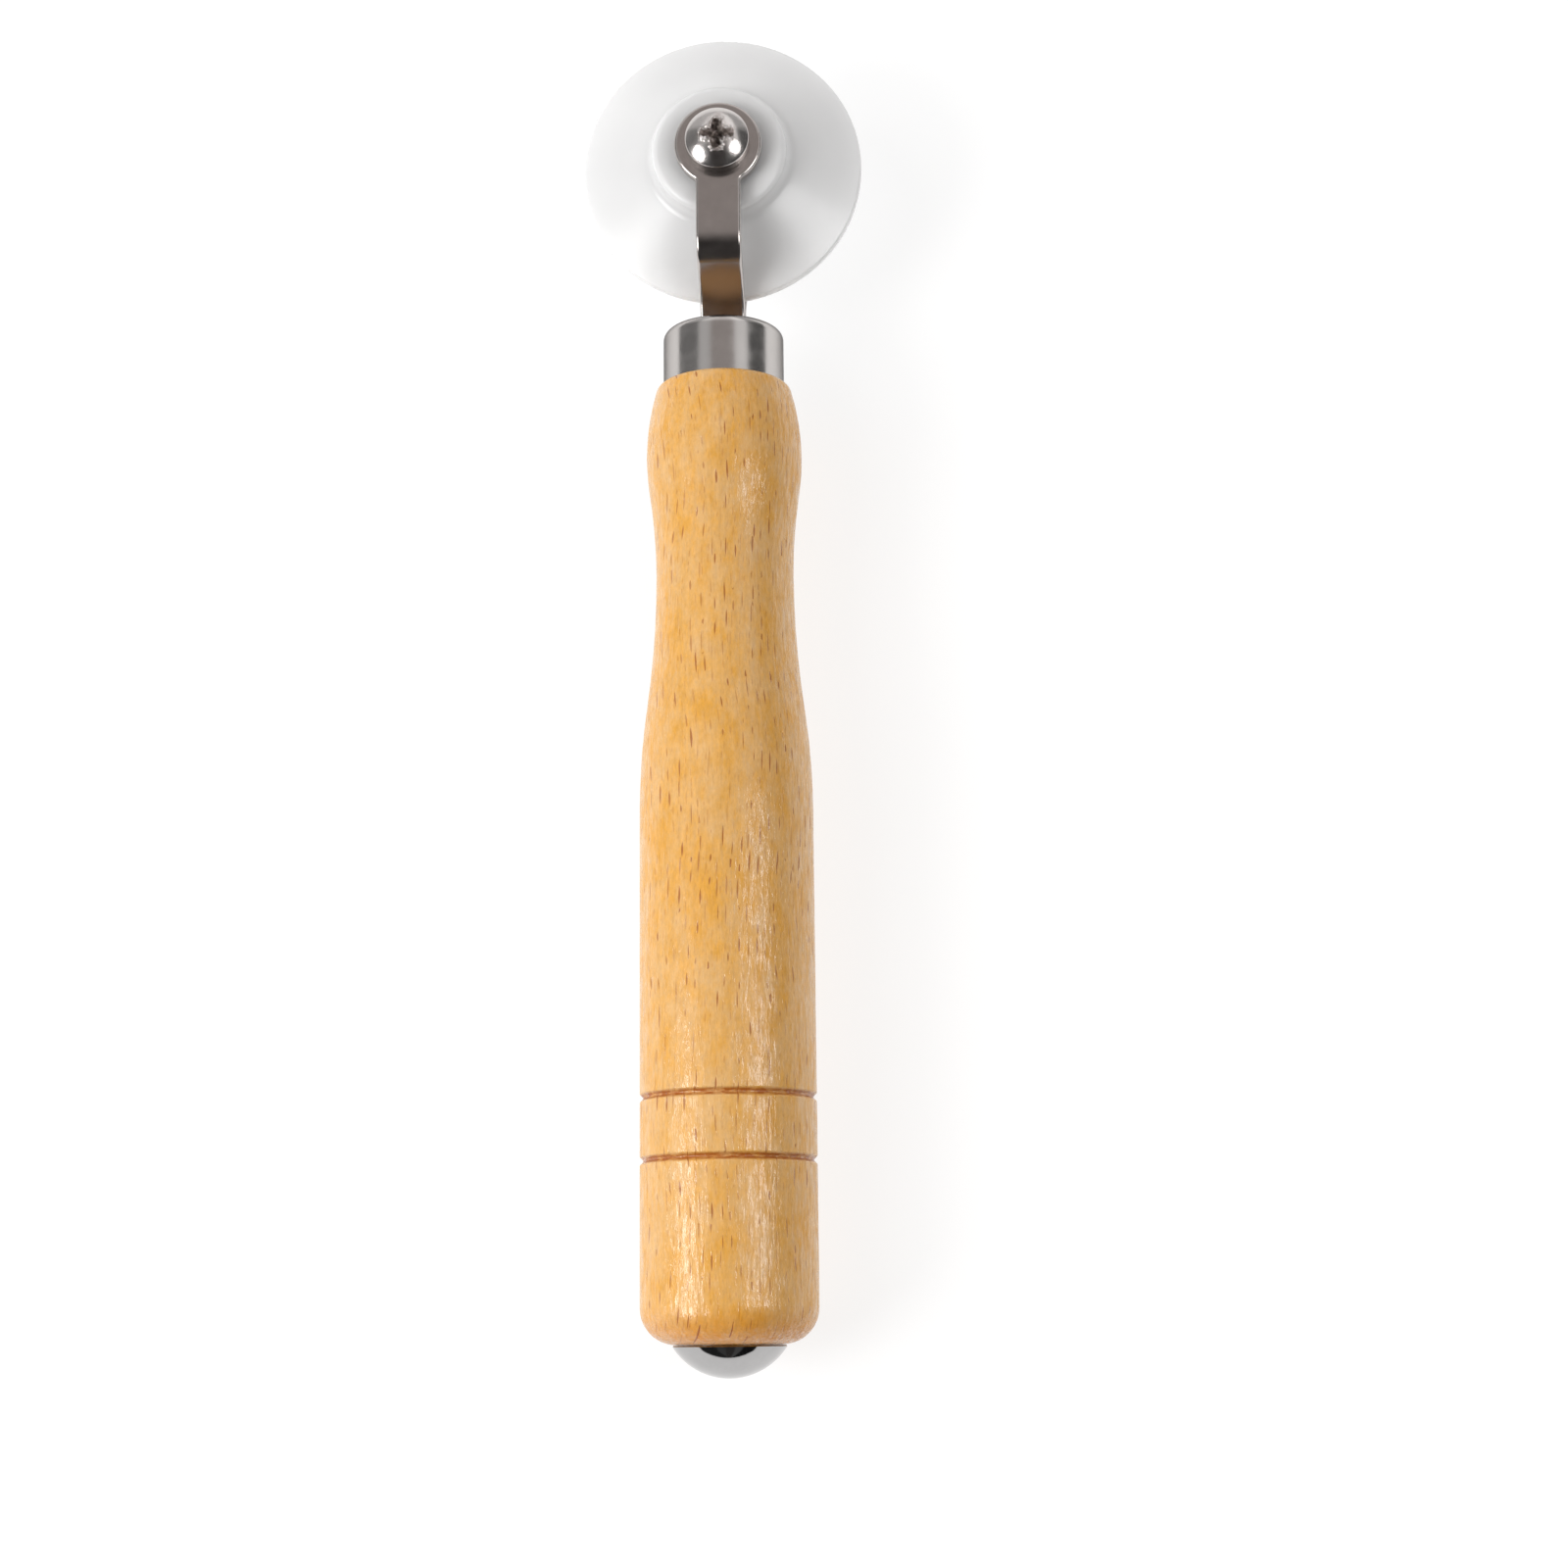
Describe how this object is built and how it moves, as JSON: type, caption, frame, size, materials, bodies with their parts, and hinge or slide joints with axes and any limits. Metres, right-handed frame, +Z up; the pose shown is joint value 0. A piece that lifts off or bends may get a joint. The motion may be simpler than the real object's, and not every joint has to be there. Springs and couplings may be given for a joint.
{
  "type": "tracing wheel",
  "caption": "Hand tracing wheel: a smooth-edged nylon wheel turning on a screw axle in a bent metal fork, on a turned wooden handle.",
  "frame": {"origin": "on the surface the tool lies on, below the middle of its length", "axes": "+Y along the handle towards the wheel, +Z up along the wheel's axle towards the screw's head, +X to the right seen from above"},
  "size_m": [0.039, 0.185, 0.0285],
  "materials": {
    "beech": "clear varnish over turned beech",
    "satin_nickel": "nickel plate, satin",
    "bright_nickel": "nickel plate, polished",
    "screw_nickel": "nickel plate, bright",
    "nylon": "translucent white, satin",
    "brass": "turned",
    "zinc_steel": "zinc plate",
    "chrome": "chrome plate, polished"
  },
  "bodies": {
    "tool_body": {"handle": "beech", "ferrule": "satin_nickel", "fork": "bright_nickel", "axle_screw": "screw_nickel", "axle_sleeve": "brass", "hub_washer_top": "screw_nickel", "hub_washer_bottom": "screw_nickel", "lock_washer": "zinc_steel", "axle_nut": "screw_nickel", "end_cap": "chrome", "cap_nail": "zinc_steel"},
    "wheel": {"wheel": "nylon"}
  },
  "joints": [
    {"name": "wheel_spin", "type": "hinge", "parent": "tool_body", "child": "wheel", "pos_m": [0, 0.073, 0.0155], "axis": [0, 0, 1], "continuous": true}
  ]
}
